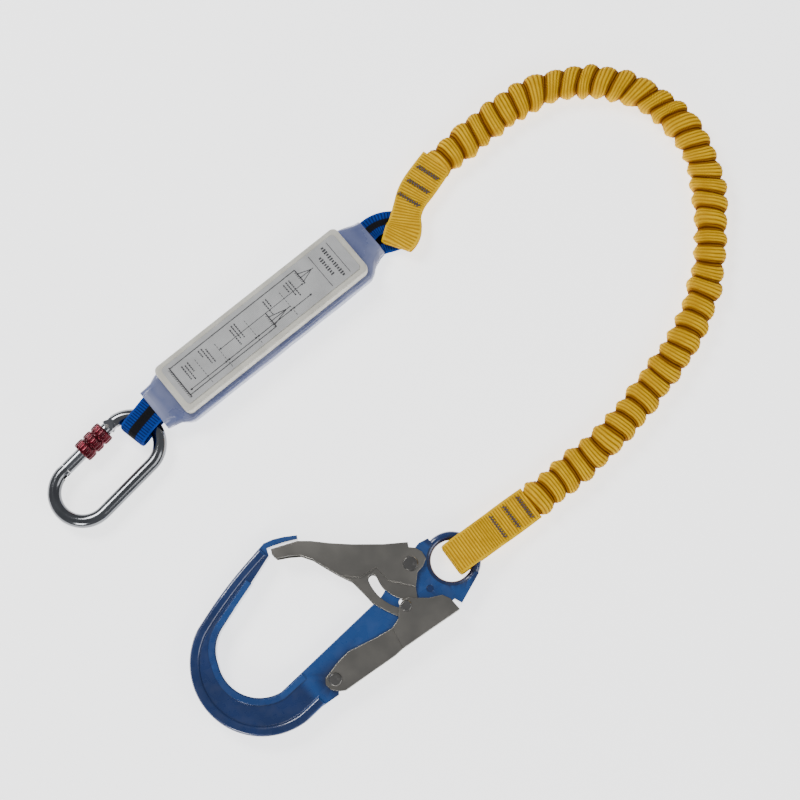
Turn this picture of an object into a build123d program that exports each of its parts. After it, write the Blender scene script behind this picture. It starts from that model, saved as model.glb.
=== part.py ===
from build123d import *
from math import cos, pi, radians, sin, tan
import os

# Shock absorbing lanyard, laid out flat. Millimetres, +Z up, the floor at z = 0.
# The origin is on the floor, at the centre of everything but the elastic leg.

os.makedirs("parts", exist_ok=True)

# ---------------------------------------------------------------- layout on the floor
PACK_CENTRE = (-26.5, 95.0)
PACK_ANGLE = 39.6
CARABINER_CENTRE = (-148.5, -23.0)
CARABINER_ANGLE = 46.5
CARABINER_Z = 10.8
HOOK_EYE = (124.5, -96.5)
HOOK_ANGLE = 25.8
LEG_Z = 11.0
ELASTIC_ROUTE = [
    (109.5, 224.5),
    (147.0, 258.0),
    (188.0, 290.5),
    (233.0, 304.5),
    (279.5, 296.5),
    (317.0, 268.0),
    (337.0, 225.5),
    (338.5, 178.0),
    (334.0, 131.0),
    (317.0, 87.0),
    (290.0, 49.0),
    (260.5, 11.5),
    (226.0, -21.0),
    (187.0, -51.0),
]

# ---------------------------------------------------------------- webbing
WEB = 2.2
ELASTIC_WIDTH = 28.0
ELASTIC_THICK = 20.0
ELASTIC_ROUND = 7.0
ELASTIC_WALL = 3.0
CORE_WIDTH = 16.0
CORE_THICK = 6.0
CORE_ROUND = 2.0
TACK_PROUD = 0.4
TACK_WIDE = 3.2
TACK_LONG = 21.0


def level(point, angle, height=0.0):
    """A level plane whose x axis points along the angle."""
    turn = radians(angle)
    return Plane(origin=(point[0], point[1], height), x_dir=(cos(turn), sin(turn), 0), z_dir=(0, 0, 1))


def upright(point, angle, height=0.0):
    """A standing plane: x along the angle, y straight up."""
    turn = radians(angle)
    return Plane(
        origin=(point[0], point[1], height),
        x_dir=(cos(turn), sin(turn), 0),
        z_dir=(sin(turn), -cos(turn), 0),
    )


def across(plane, ahead):
    """The plane square to a level plane's x axis: its own x points left, its y up."""
    origin = plane.from_local_coords((ahead, 0, 0))
    return Plane(origin=origin, x_dir=plane.y_dir, z_dir=plane.x_dir)


def beyond(point, angle, ahead):
    """The point that lies ahead of another along the angle."""
    turn = radians(angle)
    return (point[0] + ahead * cos(turn), point[1] + ahead * sin(turn))


def keep(name, block):
    """Label a finished piece and write it."""
    block.part.label = name
    export_step(block.part, f"parts/{name}.step")


# ================================================================ carabiner
ROD_R = 5.5
OVAL_HALF = 26.3
OVAL_TURN = 23.2
ROD_START = 9.0
HINGE_X = 23.5
HINGE_PIN_R = 1.5
TONGUE_R = 4.7
TONGUE_THICK = 5.0
EAR_SLOT = 5.2
EAR_HALF = 4.6
GATE_R = 5.3
NOSE_X = -23.0
NOSE_R = 5.25
NOSE_GAP = 0.4
KEY_THICK = 3.0
KEY_SLOT = 3.4
LATCH_X = -27.8
LATCH_PIN_R = 1.0
LATCH_HALF = 3.4
BORE_R = 2.2
BORE_START = 2.0
SPRING_WIRE_R = 0.3
SPRING_R = 1.7
PLUNGER_START = 13.4
PLUNGER_R = 2.14
SLEEVE_IN = 5.38
SLEEVE_OUT = 9.0
SLEEVE_LOW = -5.6
SLEEVE_HIGH = 20.4
SLEEVE_GROOVES = (2.4, 11.0)
RUN_GAP = 0.05

carabiner = level(CARABINER_CENTRE, CARABINER_ANGLE, CARABINER_Z)
gate_middle = beyond(CARABINER_CENTRE, CARABINER_ANGLE + 90, OVAL_TURN)
gate_axis = level(gate_middle, CARABINER_ANGLE, CARABINER_Z)

with BuildPart() as carabiner_body:
    with BuildLine(carabiner) as rod_path:
        CenterArc((OVAL_HALF, 0), OVAL_TURN, 90 - ROD_START, ROD_START - 180)
        Line((OVAL_HALF, -OVAL_TURN), (-OVAL_HALF, -OVAL_TURN))
        CenterArc((-OVAL_HALF, 0), OVAL_TURN, 270, -180)
    with BuildSketch(Plane(rod_path.wire() @ 0, z_dir=rod_path.wire() % 0)):
        Circle(ROD_R)
    sweep(path=rod_path.wire())
    # the nose is turned down so that the sleeve passes over it
    with BuildSketch(across(gate_axis, -OVAL_HALF)):
        Circle(NOSE_R)
    extrude(amount=NOSE_X + OVAL_HALF)
    # the flat tongue between the gate's ears
    with BuildSketch(gate_axis):
        with Locations((HINGE_X, 0)):
            Circle(TONGUE_R)
        with Locations((HINGE_X + 4.4, -0.2)):
            Rectangle(8.8, 9.0)
    extrude(amount=TONGUE_THICK / 2, both=True)
    with BuildSketch(gate_axis):
        with Locations((HINGE_X, 0)):
            Circle(HINGE_PIN_R)
    extrude(amount=ROD_R, both=True, mode=Mode.SUBTRACT)
    # the key slot in the nose and the pocket for the latch pin, both open inwards
    with BuildSketch(gate_axis):
        with Locations((NOSE_X - 3.6, -4.2)):
            Rectangle(7.4, 12.0)
    extrude(amount=KEY_SLOT / 2, both=True, mode=Mode.SUBTRACT)
    with BuildSketch(gate_axis):
        with Locations((LATCH_X, -4.5)):
            Rectangle(3.6, 12.0)
    extrude(amount=LATCH_HALF + 0.4, both=True, mode=Mode.SUBTRACT)
keep("carabiner_body", carabiner_body)

with BuildPart() as carabiner_gate:
    with BuildSketch(across(gate_axis, NOSE_X + NOSE_GAP)):
        Circle(GATE_R)
    extrude(amount=HINGE_X - NOSE_X - NOSE_GAP)
    with BuildSketch(gate_axis):
        with Locations((HINGE_X, 0)):
            Circle(GATE_R - 0.1)
            Rectangle(GATE_R, 4 * GATE_R, align=(Align.MAX, Align.CENTER), mode=Mode.SUBTRACT)
    extrude(amount=EAR_HALF, both=True)
    with BuildSketch(gate_axis):
        with Locations((HINGE_X + 1, 0)):
            Rectangle(13, 14)
    extrude(amount=EAR_SLOT / 2, both=True, mode=Mode.SUBTRACT)
    with BuildSketch(gate_axis):
        with Locations((HINGE_X, 0)):
            Circle(HINGE_PIN_R + RUN_GAP)
    extrude(amount=ROD_R, both=True, mode=Mode.SUBTRACT)
    with BuildSketch(across(gate_axis, BORE_START)):
        Circle(BORE_R)
    extrude(amount=HINGE_X - BORE_START - 5, mode=Mode.SUBTRACT)
    with BuildSketch(gate_axis):
        with Locations((LATCH_X + 2.9, 0)):
            Rectangle(8, 2.8)
    extrude(amount=KEY_THICK / 2, both=True)
    with BuildSketch(gate_axis):
        with Locations((LATCH_X, 0)):
            Circle(LATCH_PIN_R)
    extrude(amount=KEY_THICK, both=True, mode=Mode.SUBTRACT)
keep("carabiner_gate", carabiner_gate)

with BuildPart() as gate_latch_pin:
    with BuildSketch(gate_axis):
        with Locations((LATCH_X, 0)):
            Circle(LATCH_PIN_R)
    extrude(amount=LATCH_HALF, both=True)
keep("gate_latch_pin", gate_latch_pin)

with BuildPart() as gate_hinge_pin:
    with BuildSketch(gate_axis):
        with Locations((HINGE_X, 0)):
            Circle(HINGE_PIN_R)
    extrude(amount=EAR_HALF + 0.3, both=True)
keep("gate_hinge_pin", gate_hinge_pin)

with BuildPart() as gate_plunger:
    with BuildSketch(across(gate_axis, PLUNGER_START)):
        Circle(PLUNGER_R)
    extrude(amount=HINGE_X - TONGUE_R - 0.1 - PLUNGER_START)
keep("gate_plunger", gate_plunger)

with BuildPart() as gate_spring:
    spring_base = gate_axis.from_local_coords((BORE_START + 2 * SPRING_WIRE_R, 0, 0))
    with BuildLine() as coil:
        Helix(1.8, PLUNGER_START - BORE_START - 4 * SPRING_WIRE_R, SPRING_R, spring_base, gate_axis.x_dir)
    with BuildSketch(Plane(coil.wire() @ 0, z_dir=coil.wire() % 0)):
        Circle(SPRING_WIRE_R)
    sweep(path=coil.wire(), is_frenet=True)
keep("gate_spring", gate_spring)

with BuildPart() as lock_sleeve:
    with BuildSketch(across(gate_axis, SLEEVE_LOW)):
        Circle(SLEEVE_OUT)
        with PolarLocations(SLEEVE_OUT + 0.9, 14):
            Circle(1.5, mode=Mode.SUBTRACT)
    extrude(amount=SLEEVE_HIGH - SLEEVE_LOW)
    for groove in SLEEVE_GROOVES:
        with BuildSketch(across(gate_axis, groove)):
            Circle(SLEEVE_OUT + 1)
            Circle(SLEEVE_OUT - 1.2, mode=Mode.SUBTRACT)
        extrude(amount=1.8, mode=Mode.SUBTRACT)
    with BuildSketch(across(gate_axis, SLEEVE_LOW)):
        Circle(SLEEVE_IN)
    extrude(amount=SLEEVE_HIGH - SLEEVE_LOW, mode=Mode.SUBTRACT)
keep("lock_sleeve", lock_sleeve)

# ================================================================ absorber pack
CORE_HALF = 88.0
CORE_SIDE = 47.5
CORE_LOW = 0.7
CORE_HIGH = 13.9
FILM_WALL = 0.6
FILM_HALF = 93.5
FILM_SIDE = 49.5
FILM_HIGH = 14.6
PACK_SHIFT = -2.25
LABEL_LONG = 186.0
LABEL_SIDE = 46.0
LABEL_HIGH = 29.2
CARD_THICK = 0.4

pack = level(PACK_CENTRE, PACK_ANGLE)

with BuildPart() as tear_webbing_core:
    with BuildSketch(across(pack, -CORE_HALF)):
        with Locations((PACK_SHIFT, (CORE_LOW + CORE_HIGH) / 2)):
            RectangleRounded(CORE_SIDE, CORE_HIGH - CORE_LOW, 2.8)
    extrude(amount=2 * CORE_HALF)
keep("tear_webbing_core", tear_webbing_core)


def film_solid(inset, ends):
    """The film's sleeve with a neck at each end, drawn in by the inset."""
    rim = 3.0 - inset
    for mouth_x, mouth_y, mouth_wide, mouth_high in ends:
        way = 1 if mouth_x > 0 else -1
        with BuildSketch(across(pack, way * FILM_HALF)) as shoulder:
            with Locations((PACK_SHIFT, FILM_HIGH / 2)):
                RectangleRounded(FILM_SIDE - 2 * inset, FILM_HIGH - 2 * inset, rim)
        with BuildSketch(across(pack, mouth_x)) as mouth:
            with Locations((mouth_y, mouth_high / 2)):
                RectangleRounded(mouth_wide - 2 * inset, mouth_high - 2 * inset, rim)
        loft([shoulder.sketch, mouth.sketch])
        extrude(shoulder.sketch, amount=-way * FILM_HALF)


MOUTHS = ((-110.5, -1.0, 37.0, 21.8), (113.0, 1.0, 35.0, 15.0))

with BuildPart() as film_hollow:
    film_solid(FILM_WALL, MOUTHS)

with BuildPart() as shrink_film:
    film_solid(0, MOUTHS)
    add(film_hollow.part, mode=Mode.SUBTRACT)
keep("shrink_film", shrink_film)

with BuildPart() as label_pad:
    with BuildSketch(pack.offset(FILM_HIGH)):
        RectangleRounded(LABEL_LONG, LABEL_SIDE, 5)
    extrude(amount=LABEL_HIGH - FILM_HIGH)
    fillet(label_pad.faces().sort_by(Axis.Z)[-1].edges(), 2.5)
keep("label_pad", label_pad)

with BuildPart() as label_card:
    with BuildSketch(pack.offset(LABEL_HIGH)):
        RectangleRounded(LABEL_LONG - 10, LABEL_SIDE - 8, 3)
    extrude(amount=CARD_THICK)
keep("label_card", label_card)

# ---------------------------------------------------------------- loop round the carabiner
STRAP_ANGLE = 52.0
CROSSING_TURN = 12.0
TUNNEL = 8.9
LOOP_TIP = -17.4
LOOP_WIDE = 22.0

oval_end = beyond(CARABINER_CENTRE, CARABINER_ANGLE, OVAL_HALF)
crossing = beyond(oval_end, CARABINER_ANGLE + CROSSING_TURN, OVAL_TURN)

with BuildPart() as absorber_loop_carabiner_end:
    with BuildSketch(upright(crossing, STRAP_ANGLE, CARABINER_Z)):
        with BuildLine():
            FilletPolyline(
                (46, -1.8),
                (27, -0.8),
                (9, TUNNEL),
                (LOOP_TIP, TUNNEL),
                (LOOP_TIP, -TUNNEL),
                (9, -TUNNEL),
                (46, -6),
                radius=[10, 10, TUNNEL - 0.1, TUNNEL - 0.1, 12],
            )
        trace(line_width=WEB)
    extrude(amount=LOOP_WIDE / 2, both=True)
    split(bisect_by=across(pack, -CORE_HALF), keep=Keep.BOTTOM)
keep("absorber_loop_carabiner_end", absorber_loop_carabiner_end)

# ---------------------------------------------------------------- loop at the lanyard's end
LINK_LOW = 4.3
LINK_HIGH = 11.1
FOLD_R = (LINK_HIGH - LINK_LOW) / 2
LINK_LOW_LINE = [(39, 147), (61, 167.5), (105, 174)]
LINK_HIGH_LINE = [(39, 147), (55, 173), (64, 181), (103, 181)]
LINK_FOLD = (102.5, 181.0)

with BuildPart() as absorber_loop_lanyard_end:
    for line, radii, wide, height in (
        (LINK_LOW_LINE, [20], 26.0, LINK_LOW),
        (LINK_HIGH_LINE, [12, 12], 18.0, LINK_HIGH),
    ):
        with BuildSketch(Plane.XY.offset(height - WEB / 2)):
            with BuildLine():
                FilletPolyline(*line, radius=radii)
            trace(line_width=wide)
        extrude(amount=WEB)
    with BuildSketch(upright(LINK_FOLD, 0, (LINK_LOW + LINK_HIGH) / 2)):
        with BuildLine():
            CenterArc((0, 0), FOLD_R, -90, 180)
        trace(line_width=WEB)
    extrude(amount=7, both=True)
    split(bisect_by=across(pack, CORE_HALF), keep=Keep.TOP)
keep("absorber_loop_lanyard_end", absorber_loop_lanyard_end)

# ================================================================ lanyard eyes
EYE_FOLD = (79.0, 160.5)
EYE_ANGLE = 72.0
EYE_LONG = 41.0
EYE_WIDE = 20.0
EYE_LOW = 7.7
EYE_HIGH = 14.5
SEWN_ANGLE = 56.0
SEWN_LONG = 32.0
SEWN_FLAT = 4.0
EYE_LAP = 2.0
EYE_TACKS = (7.0, 16.5, 26.5)
SEWN_THICK = 5.0
SEWN_WIDE = 28.0

eye_end = beyond(EYE_FOLD, EYE_ANGLE, EYE_LONG)
sewn = level(eye_end, SEWN_ANGLE, LEG_Z)
sewn_start = across(sewn, 0)

with BuildPart() as lanyard_eye_absorber_end:
    with BuildSketch(upright(EYE_FOLD, EYE_ANGLE, (EYE_LOW + EYE_HIGH) / 2)):
        with BuildLine():
            Line((EYE_LONG + EYE_LAP, FOLD_R), (FOLD_R + WEB / 2, FOLD_R))
            CenterArc((FOLD_R + WEB / 2, 0), FOLD_R, 90, 180)
            Line((FOLD_R + WEB / 2, -FOLD_R), (EYE_LONG + EYE_LAP, -FOLD_R))
        trace(line_width=WEB)
    extrude(amount=EYE_WIDE / 2, both=True)
    with BuildSketch(sewn_start):
        with Locations((0, (EYE_LOW + EYE_HIGH) / 2 - LEG_Z)):
            Rectangle(EYE_WIDE, EYE_HIGH - EYE_LOW + WEB)
    with BuildSketch(across(sewn, SEWN_FLAT)) as sewn_section:
        Rectangle(SEWN_WIDE, SEWN_THICK)
    loft()
    extrude(sewn_section.sketch, amount=SEWN_LONG - SEWN_FLAT)
keep("lanyard_eye_absorber_end", lanyard_eye_absorber_end)

HOOK_STRAP_ANGLE = 36.0
HOOK_TUNNEL = 8.1
HOOK_NECK = 27.5
HOOK_SEWN_START = 41.0
HOOK_SEWN_HALF = 2.5
HOOK_CREASE = 0.4
HOOK_STRAP_LONG = 79.0
HOOK_PLY = 2.6
HOOK_TACKS = (44.0, 57.0, 70.0)

strap_start = beyond(HOOK_EYE, HOOK_STRAP_ANGLE, -1.0)
hook_strap = level(strap_start, HOOK_STRAP_ANGLE, LEG_Z)

with BuildPart() as lanyard_eye_hook_end:
    with BuildSketch(upright(strap_start, HOOK_STRAP_ANGLE, LEG_Z)):
        with BuildLine():
            FilletPolyline(
                (HOOK_STRAP_LONG, HOOK_SEWN_HALF),
                (HOOK_SEWN_START, HOOK_SEWN_HALF),
                (HOOK_NECK, HOOK_TUNNEL + HOOK_PLY),
                (0, HOOK_TUNNEL + HOOK_PLY),
                (0, -HOOK_TUNNEL - HOOK_PLY),
                (HOOK_NECK, -HOOK_TUNNEL - HOOK_PLY),
                (HOOK_SEWN_START, -HOOK_SEWN_HALF),
                (HOOK_STRAP_LONG, -HOOK_SEWN_HALF),
                radius=[6, 6, HOOK_TUNNEL + 2, HOOK_TUNNEL + 2, 6, 6],
            )
            Line((HOOK_STRAP_LONG, -HOOK_SEWN_HALF), (HOOK_STRAP_LONG, HOOK_SEWN_HALF))
        make_face()
        with BuildLine():
            FilletPolyline(
                (HOOK_SEWN_START - HOOK_PLY, HOOK_CREASE),
                (HOOK_NECK - 1, HOOK_TUNNEL),
                (HOOK_PLY, HOOK_TUNNEL),
                (HOOK_PLY, -HOOK_TUNNEL),
                (HOOK_NECK - 1, -HOOK_TUNNEL),
                (HOOK_SEWN_START - HOOK_PLY, -HOOK_CREASE),
                radius=[6, HOOK_TUNNEL - 0.6, HOOK_TUNNEL - 0.6, 6],
            )
            Line((HOOK_SEWN_START - HOOK_PLY, -HOOK_CREASE), (HOOK_SEWN_START - HOOK_PLY, HOOK_CREASE))
        make_face(mode=Mode.SUBTRACT)
    extrude(amount=SEWN_WIDE / 2, both=True)
keep("lanyard_eye_hook_end", lanyard_eye_hook_end)


def tacks(plane, places, half_thick):
    """Zigzag bar tacks across both faces of the sewn webbing."""
    for face in (half_thick, -half_thick - TACK_PROUD):
        with BuildSketch(plane.offset(face)) as bars:
            with Locations(*[(place, 0) for place in places]):
                SlotOverall(TACK_LONG, TACK_WIDE, rotation=90)
        extrude(bars.sketch, amount=TACK_PROUD)


with BuildPart() as bar_tacks_absorber_end:
    tacks(sewn, EYE_TACKS, SEWN_THICK / 2)
keep("bar_tacks_absorber_end", bar_tacks_absorber_end)

with BuildPart() as bar_tacks_hook_end:
    tacks(hook_strap, HOOK_TACKS, HOOK_SEWN_HALF)
keep("bar_tacks_hook_end", bar_tacks_hook_end)

# ================================================================ elastic leg
REACH = 0.45


def corner_radii(route):
    """Each corner's arc: as large as its two runs allow."""
    found = []
    for before, here, after in zip(route, route[1:], route[2:]):
        run_in = Vector(here) - Vector(before)
        run_out = Vector(after) - Vector(here)
        turn = radians(run_in.get_angle(run_out))
        found.append(REACH * min(run_in.length, run_out.length) / tan(turn / 2))
    return found


elastic_radii = corner_radii(ELASTIC_ROUTE)
print("elastic leg radii", [round(r) for r in elastic_radii])

with BuildLine(Plane.XY.offset(LEG_Z)) as leg_line:
    FilletPolyline(*ELASTIC_ROUTE, radius=elastic_radii)
leg_wire = leg_line.wire()
leg_start = Plane(leg_wire @ 0, x_dir=(leg_wire % 0).cross(Vector(0, 0, 1)), z_dir=leg_wire % 0)

with BuildPart() as elastic_webbing:
    with BuildSketch(leg_start):
        RectangleRounded(ELASTIC_WIDTH, ELASTIC_THICK, ELASTIC_ROUND)
        RectangleRounded(
            ELASTIC_WIDTH - 2 * ELASTIC_WALL,
            ELASTIC_THICK - 2 * ELASTIC_WALL,
            ELASTIC_ROUND - ELASTIC_WALL,
            mode=Mode.SUBTRACT,
        )
    sweep(path=leg_wire)
keep("elastic_webbing", elastic_webbing)

with BuildPart() as elastic_core:
    with BuildSketch(leg_start):
        RectangleRounded(CORE_WIDTH, CORE_THICK, CORE_ROUND)
    sweep(path=leg_wire)
keep("elastic_core", elastic_core)
print("elastic leg length", round(leg_wire.length, 1))
core_section = CORE_WIDTH * CORE_THICK - (4 - pi) * CORE_ROUND**2
print("core volume", round(elastic_core.part.volume))
print("core section x length", round(core_section * leg_wire.length))

# ================================================================ hook
PLATE_HALF = 5.6
RIM_HALF = 7.2
INNER_RIM_HALF = 6.5
RING_MID = 19.75
RING_DEEP = 6.9
RING_THICK = 9.0
RING_ROUND = 3.2
GATE_PIVOT = (-30.3, 11.5)
LEVER_PIN = (-47.6, -16.6)
LEVER_PIVOT = (-121.3, -43.6)
PIVOT_R = 3.0
GUIDE_R = 2.2
SHEET = 1.5
GATE_OUT = 9.0
ARM_OUT = 7.3
LEVER_OUT = 9.1
LEVER_TAIL_OUT = 7.3
SLOT_MID = 31.8
SLOT_WIDE = 7.0
SLOT_FROM = 176.0
SLOT_TURN = 65.0
GATE_POCKET = (7.4, 2.0)
LEVER_POCKET = (6.0, 0.8)
DIMPLE_PLACE = (-25.0, -12.5)
DIMPLE_R = 2.8
DIMPLE_DEEP = 0.8

hook = level(HOOK_EYE, HOOK_ANGLE, LEG_Z)

with BuildPart() as hook_body:
    # the thick outer rim of the bow
    with BuildSketch(hook):
        with BuildLine():
            ThreePointArc((-130, 70.2), (-167, 53.4), (-198.5, 34.6))
            ThreePointArc((-198.5, 34.6), (-218.8, -7), (-154.3, -58.5))
            Line((-154.3, -58.5), (-137, -53))
        trace(line_width=8)
    extrude(amount=RIM_HALF, both=True)
    fillet(hook_body.edges().filter_by(Plane.XY), 2.4)
    # the web, spine and head
    with BuildSketch(hook):
        with BuildLine():
            ThreePointArc((-127, 76), (-166, 57.8), (-201, 37.8))
            ThreePointArc((-201, 37.8), (-222.7, -9), (-155, -62.7))
            Polyline(
                (-155, -62.7),
                (-139.6, -57.8),
                (-124, -55.4),
                (-122.5, -52.6),
                (-92, -45.8),
                (-60, -39.2),
                (-19, -29.5),
                (-11, -28),
                (-7.3, -33.3),
                (14.9, -18.1),
                (6, -6),
                (-4, 4),
                (-9.4, 23.6),
                (-17.4, 23.4),
                (-22.3, 21.1),
            )
            ThreePointArc((-22.3, 21.1), (-32.5, 23.8), (-41.1, 17.8))
            Polyline((-41.1, 17.8), (-50, 6), (-62, -1.7), (-163, -34))
            ThreePointArc((-163, -34), (-189.6, -23.8), (-198, 6))
            ThreePointArc((-198, 6), (-193.6, 20), (-184, 30))
            Polyline(
                (-184, 30),
                (-127.4, 65.5),
                (-126.6, 71.4),
                (-122.5, 71.2),
                (-112, 69.9),
                (-101.6, 67.6),
                (-100.8, 70.5),
                (-111, 73.9),
                (-119.5, 75.7),
                (-127, 76),
            )
        make_face()
    extrude(amount=PLATE_HALF, both=True)
    # the slimmer inner rim
    with BuildSketch(hook):
        with BuildLine():
            Line((-150, 53.6), (-185.5, 32.6))
            ThreePointArc((-185.5, 32.6), (-196.3, 22), (-201, 6.2))
            ThreePointArc((-201, 6.2), (-191.7, -26.4), (-163, -37.2))
            Line((-163, -37.2), (-142, -31))
        trace(line_width=5)
    extrude(amount=INNER_RIM_HALF, both=True)
    # the rounded eye
    with BuildSketch(hook):
        Circle(RING_MID)
    extrude(amount=RIM_HALF, both=True, mode=Mode.SUBTRACT)
    with BuildSketch(upright(HOOK_EYE, HOOK_ANGLE, LEG_Z)):
        with Locations((RING_MID, 0)):
            RectangleRounded(RING_DEEP, RING_THICK, RING_ROUND)
    revolve(axis=Axis((HOOK_EYE[0], HOOK_EYE[1], 0), (0, 0, 1)))
    # rivet holes, the guide rivet's clearance slot and the spring pockets
    with BuildSketch(hook):
        with Locations(GATE_PIVOT, LEVER_PIVOT):
            Circle(PIVOT_R)
        with Locations((LEVER_PIN[0] - 0.65, LEVER_PIN[1] + 1.77)):
            SlotCenterToCenter(4.4, 5.8, rotation=110)
    extrude(amount=RIM_HALF, both=True, mode=Mode.SUBTRACT)
    for place, (pocket_r, floor) in ((GATE_PIVOT, GATE_POCKET), (LEVER_PIVOT, LEVER_POCKET)):
        with BuildSketch(hook.offset(floor)):
            with Locations(place):
                Circle(pocket_r)
        extrude(amount=RIM_HALF, mode=Mode.SUBTRACT)
    # a shallow dimple in both faces of the head
    for way in (1, -1):
        with BuildSketch(hook.offset(way * (PLATE_HALF - DIMPLE_DEEP))):
            with Locations(DIMPLE_PLACE):
                Circle(DIMPLE_R)
        extrude(amount=way * DIMPLE_DEEP, mode=Mode.SUBTRACT)
keep("hook_body", hook_body)


def stamped(shell, tail, deep, shallow, wide_out, tail_out):
    """A folded sheet channel: a wide shell and a joggled tail, both hollowed towards one side."""
    for outline, half, mode in (
        (shell, wide_out, Mode.ADD),
        (tail, tail_out, Mode.ADD),
        (deep, wide_out - SHEET, Mode.SUBTRACT),
        (shallow, tail_out - SHEET, Mode.SUBTRACT),
    ):
        with BuildSketch(hook) as profile:
            Polygon(*outline, align=None)
        extrude(profile.sketch, amount=half, both=True, mode=mode)


GATE_BACK = [
    (-123.8, 69.2),
    (-102.7, 66.0),
    (-93, 61.3),
    (-80.7, 53.5),
    (-64.9, 44.8),
    (-43.1, 34.4),
    (-25.1, 27.5),
]
GATE_STEP = [
    (-34.3, -6.3),
    (-51.9, 7.4),
    (-55.9, 20.6),
    (-70.5, 19),
    (-84.5, 27.5),
]
GATE_STEP_INSIDE = [
    (-31.5, -5.5),
    (-50.2, 8.6),
    (-54.2, 22.4),
    (-70.2, 20.8),
    (-85.2, 29.6),
]
GATE_EDGE = [
    (-91.1, 37.2),
    (-98, 47.9),
    (-105.3, 55),
    (-114.3, 58.4),
    (-123.0, 60.7),
    (-124.8, 64.5),
]
GATE_ARM = [
    (-77.4, 18.6),
    (-72.9, 5.8),
    (-69.8, -4.3),
    (-63.5, -13.3),
    (-57.5, -20.4),
    (-51, -25),
    (-44, -25),
    (-38.5, -20.5),
    (-36.2, -12),
]
GATE_HEAD = [
    (-26.1, 23.6),
    (-21.6, 20.9),
    (-18.2, 16),
    (-17.6, 9.7),
    (-22.5, 5.3),
    (-28.4, 2.8),
]

with BuildPart() as hook_gate:
    back_inside = [(u - 0.7, v - 1.6) for u, v in GATE_BACK]
    stamped(
        GATE_BACK + GATE_HEAD + GATE_STEP + GATE_EDGE,
        GATE_STEP + GATE_ARM,
        [(-128, back_inside[0][1])] + back_inside + [(-12, 22), (-12, -2)] + GATE_STEP_INSIDE
        + [(-96, 32), (-110, 50), (-128, 57)],
        [(-128, back_inside[0][1])] + back_inside + [(-12, 22), (-12, -34), (-84, -34), (-128, 57)],
        GATE_OUT,
        ARM_OUT,
    )
    with BuildSketch(hook):
        with Locations(GATE_PIVOT):
            Circle(PIVOT_R + RUN_GAP)
        with BuildLine() as slot_line:
            CenterArc(GATE_PIVOT, SLOT_MID, SLOT_FROM, SLOT_TURN)
        trace(line_width=SLOT_WIDE)
        with Locations(slot_line.line @ 0, slot_line.line @ 1):
            Circle(SLOT_WIDE / 2)
    extrude(amount=GATE_OUT, both=True, mode=Mode.SUBTRACT)
keep("hook_gate", hook_gate)

LEVER_BACK = [
    (-11.2, -37),
    (-36.9, -40.8),
    (-60, -44.4),
    (-64, -45),
]
LEVER_TAIL_BACK = [
    (-71.9, -47.3),
    (-94.6, -50.8),
    (-117.5, -54.5),
]
LEVER_TOP = [
    (-64.8, -27.1),
    (-57.5, -22.8),
    (-52.8, -14.5),
    (-48, -11.4),
    (-42.7, -11.4),
    (-38.1, -14.4),
    (-28.9, -18.8),
    (-18.7, -21.1),
    (-14.1, -26.6),
]
LEVER_TAIL_END = [
    (-122.5, -52.9),
    (-127.6, -49.6),
    (-129.8, -44),
    (-128, -39.5),
    (-115.1, -32.9),
    (-103.6, -28.6),
    (-78.6, -28.3),
]

with BuildPart() as lock_lever:
    back_up = [(u, v + 1.55) for u, v in LEVER_BACK]
    tail_up = [(u, v + 1.55) for u, v in LEVER_TAIL_BACK]
    stamped(
        LEVER_BACK + LEVER_TOP,
        [LEVER_BACK[-1]] + LEVER_TAIL_BACK + LEVER_TAIL_END + [LEVER_TOP[0]],
        [(-6, back_up[0][1] + 0.8)] + back_up[:-1] + [(-62.3, -43.2), (-62.3, -8), (-6, -8)],
        [(-6, back_up[0][1] + 0.8)] + back_up + tail_up + [(-117.5, -60), (-136, -60), (-136, -8), (-6, -8)],
        LEVER_OUT,
        LEVER_TAIL_OUT,
    )
    with BuildSketch(hook):
        with Locations(LEVER_PIVOT):
            Circle(PIVOT_R + RUN_GAP)
        with Locations(LEVER_PIN):
            Circle(GUIDE_R)
    extrude(amount=LEVER_OUT, both=True, mode=Mode.SUBTRACT)
keep("lock_lever", lock_lever)


def rivet(name, place, shank_r, head_r, seat, head):
    """A headed rivet through the hook, domed on both faces."""
    with BuildPart() as piece:
        with BuildSketch(hook):
            with Locations(place):
                Circle(shank_r)
        extrude(amount=seat, both=True)
        for way in (1, -1):
            with BuildSketch(hook.offset(way * seat)):
                with Locations(place):
                    Circle(head_r)
            extrude(amount=way * head)
        chamfer(piece.edges().filter_by(GeomType.CIRCLE).group_by(Axis.Z)[-1], head * 0.6)
        chamfer(piece.edges().filter_by(GeomType.CIRCLE).group_by(Axis.Z)[0], head * 0.6)
    keep(name, piece)


rivet("gate_rivet", GATE_PIVOT, PIVOT_R, 6.0, GATE_OUT + 0.1, 1.2)
rivet("lever_guide_rivet", LEVER_PIN, GUIDE_R, 4.4, LEVER_OUT, 1.2)
rivet("lever_pivot_rivet", LEVER_PIVOT, PIVOT_R, 5.2, LEVER_TAIL_OUT + 0.1, 1.2)


def torsion_spring(name, place, floor, coil_r, wire_r, turns):
    """A close coil round a rivet, in its pocket."""
    pitch = 2 * wire_r + 0.1
    centre = hook.from_local_coords((place[0], place[1], floor + wire_r + 0.1))
    with BuildPart() as piece:
        with BuildLine() as turn_line:
            Helix(pitch, pitch * turns, coil_r, centre)
        with BuildSketch(Plane(turn_line.wire() @ 0, z_dir=turn_line.wire() % 0)):
            Circle(wire_r)
        sweep(path=turn_line.wire(), is_frenet=True)
    keep(name, piece)


torsion_spring("hook_gate_spring", GATE_PIVOT, GATE_POCKET[1], 5.0, 0.55, 3)
torsion_spring("lever_spring", LEVER_PIVOT, LEVER_POCKET[1], 4.4, 0.5, 3.5)
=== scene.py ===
import math
import random

import bpy
import numpy as np
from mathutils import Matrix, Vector, noise


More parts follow.
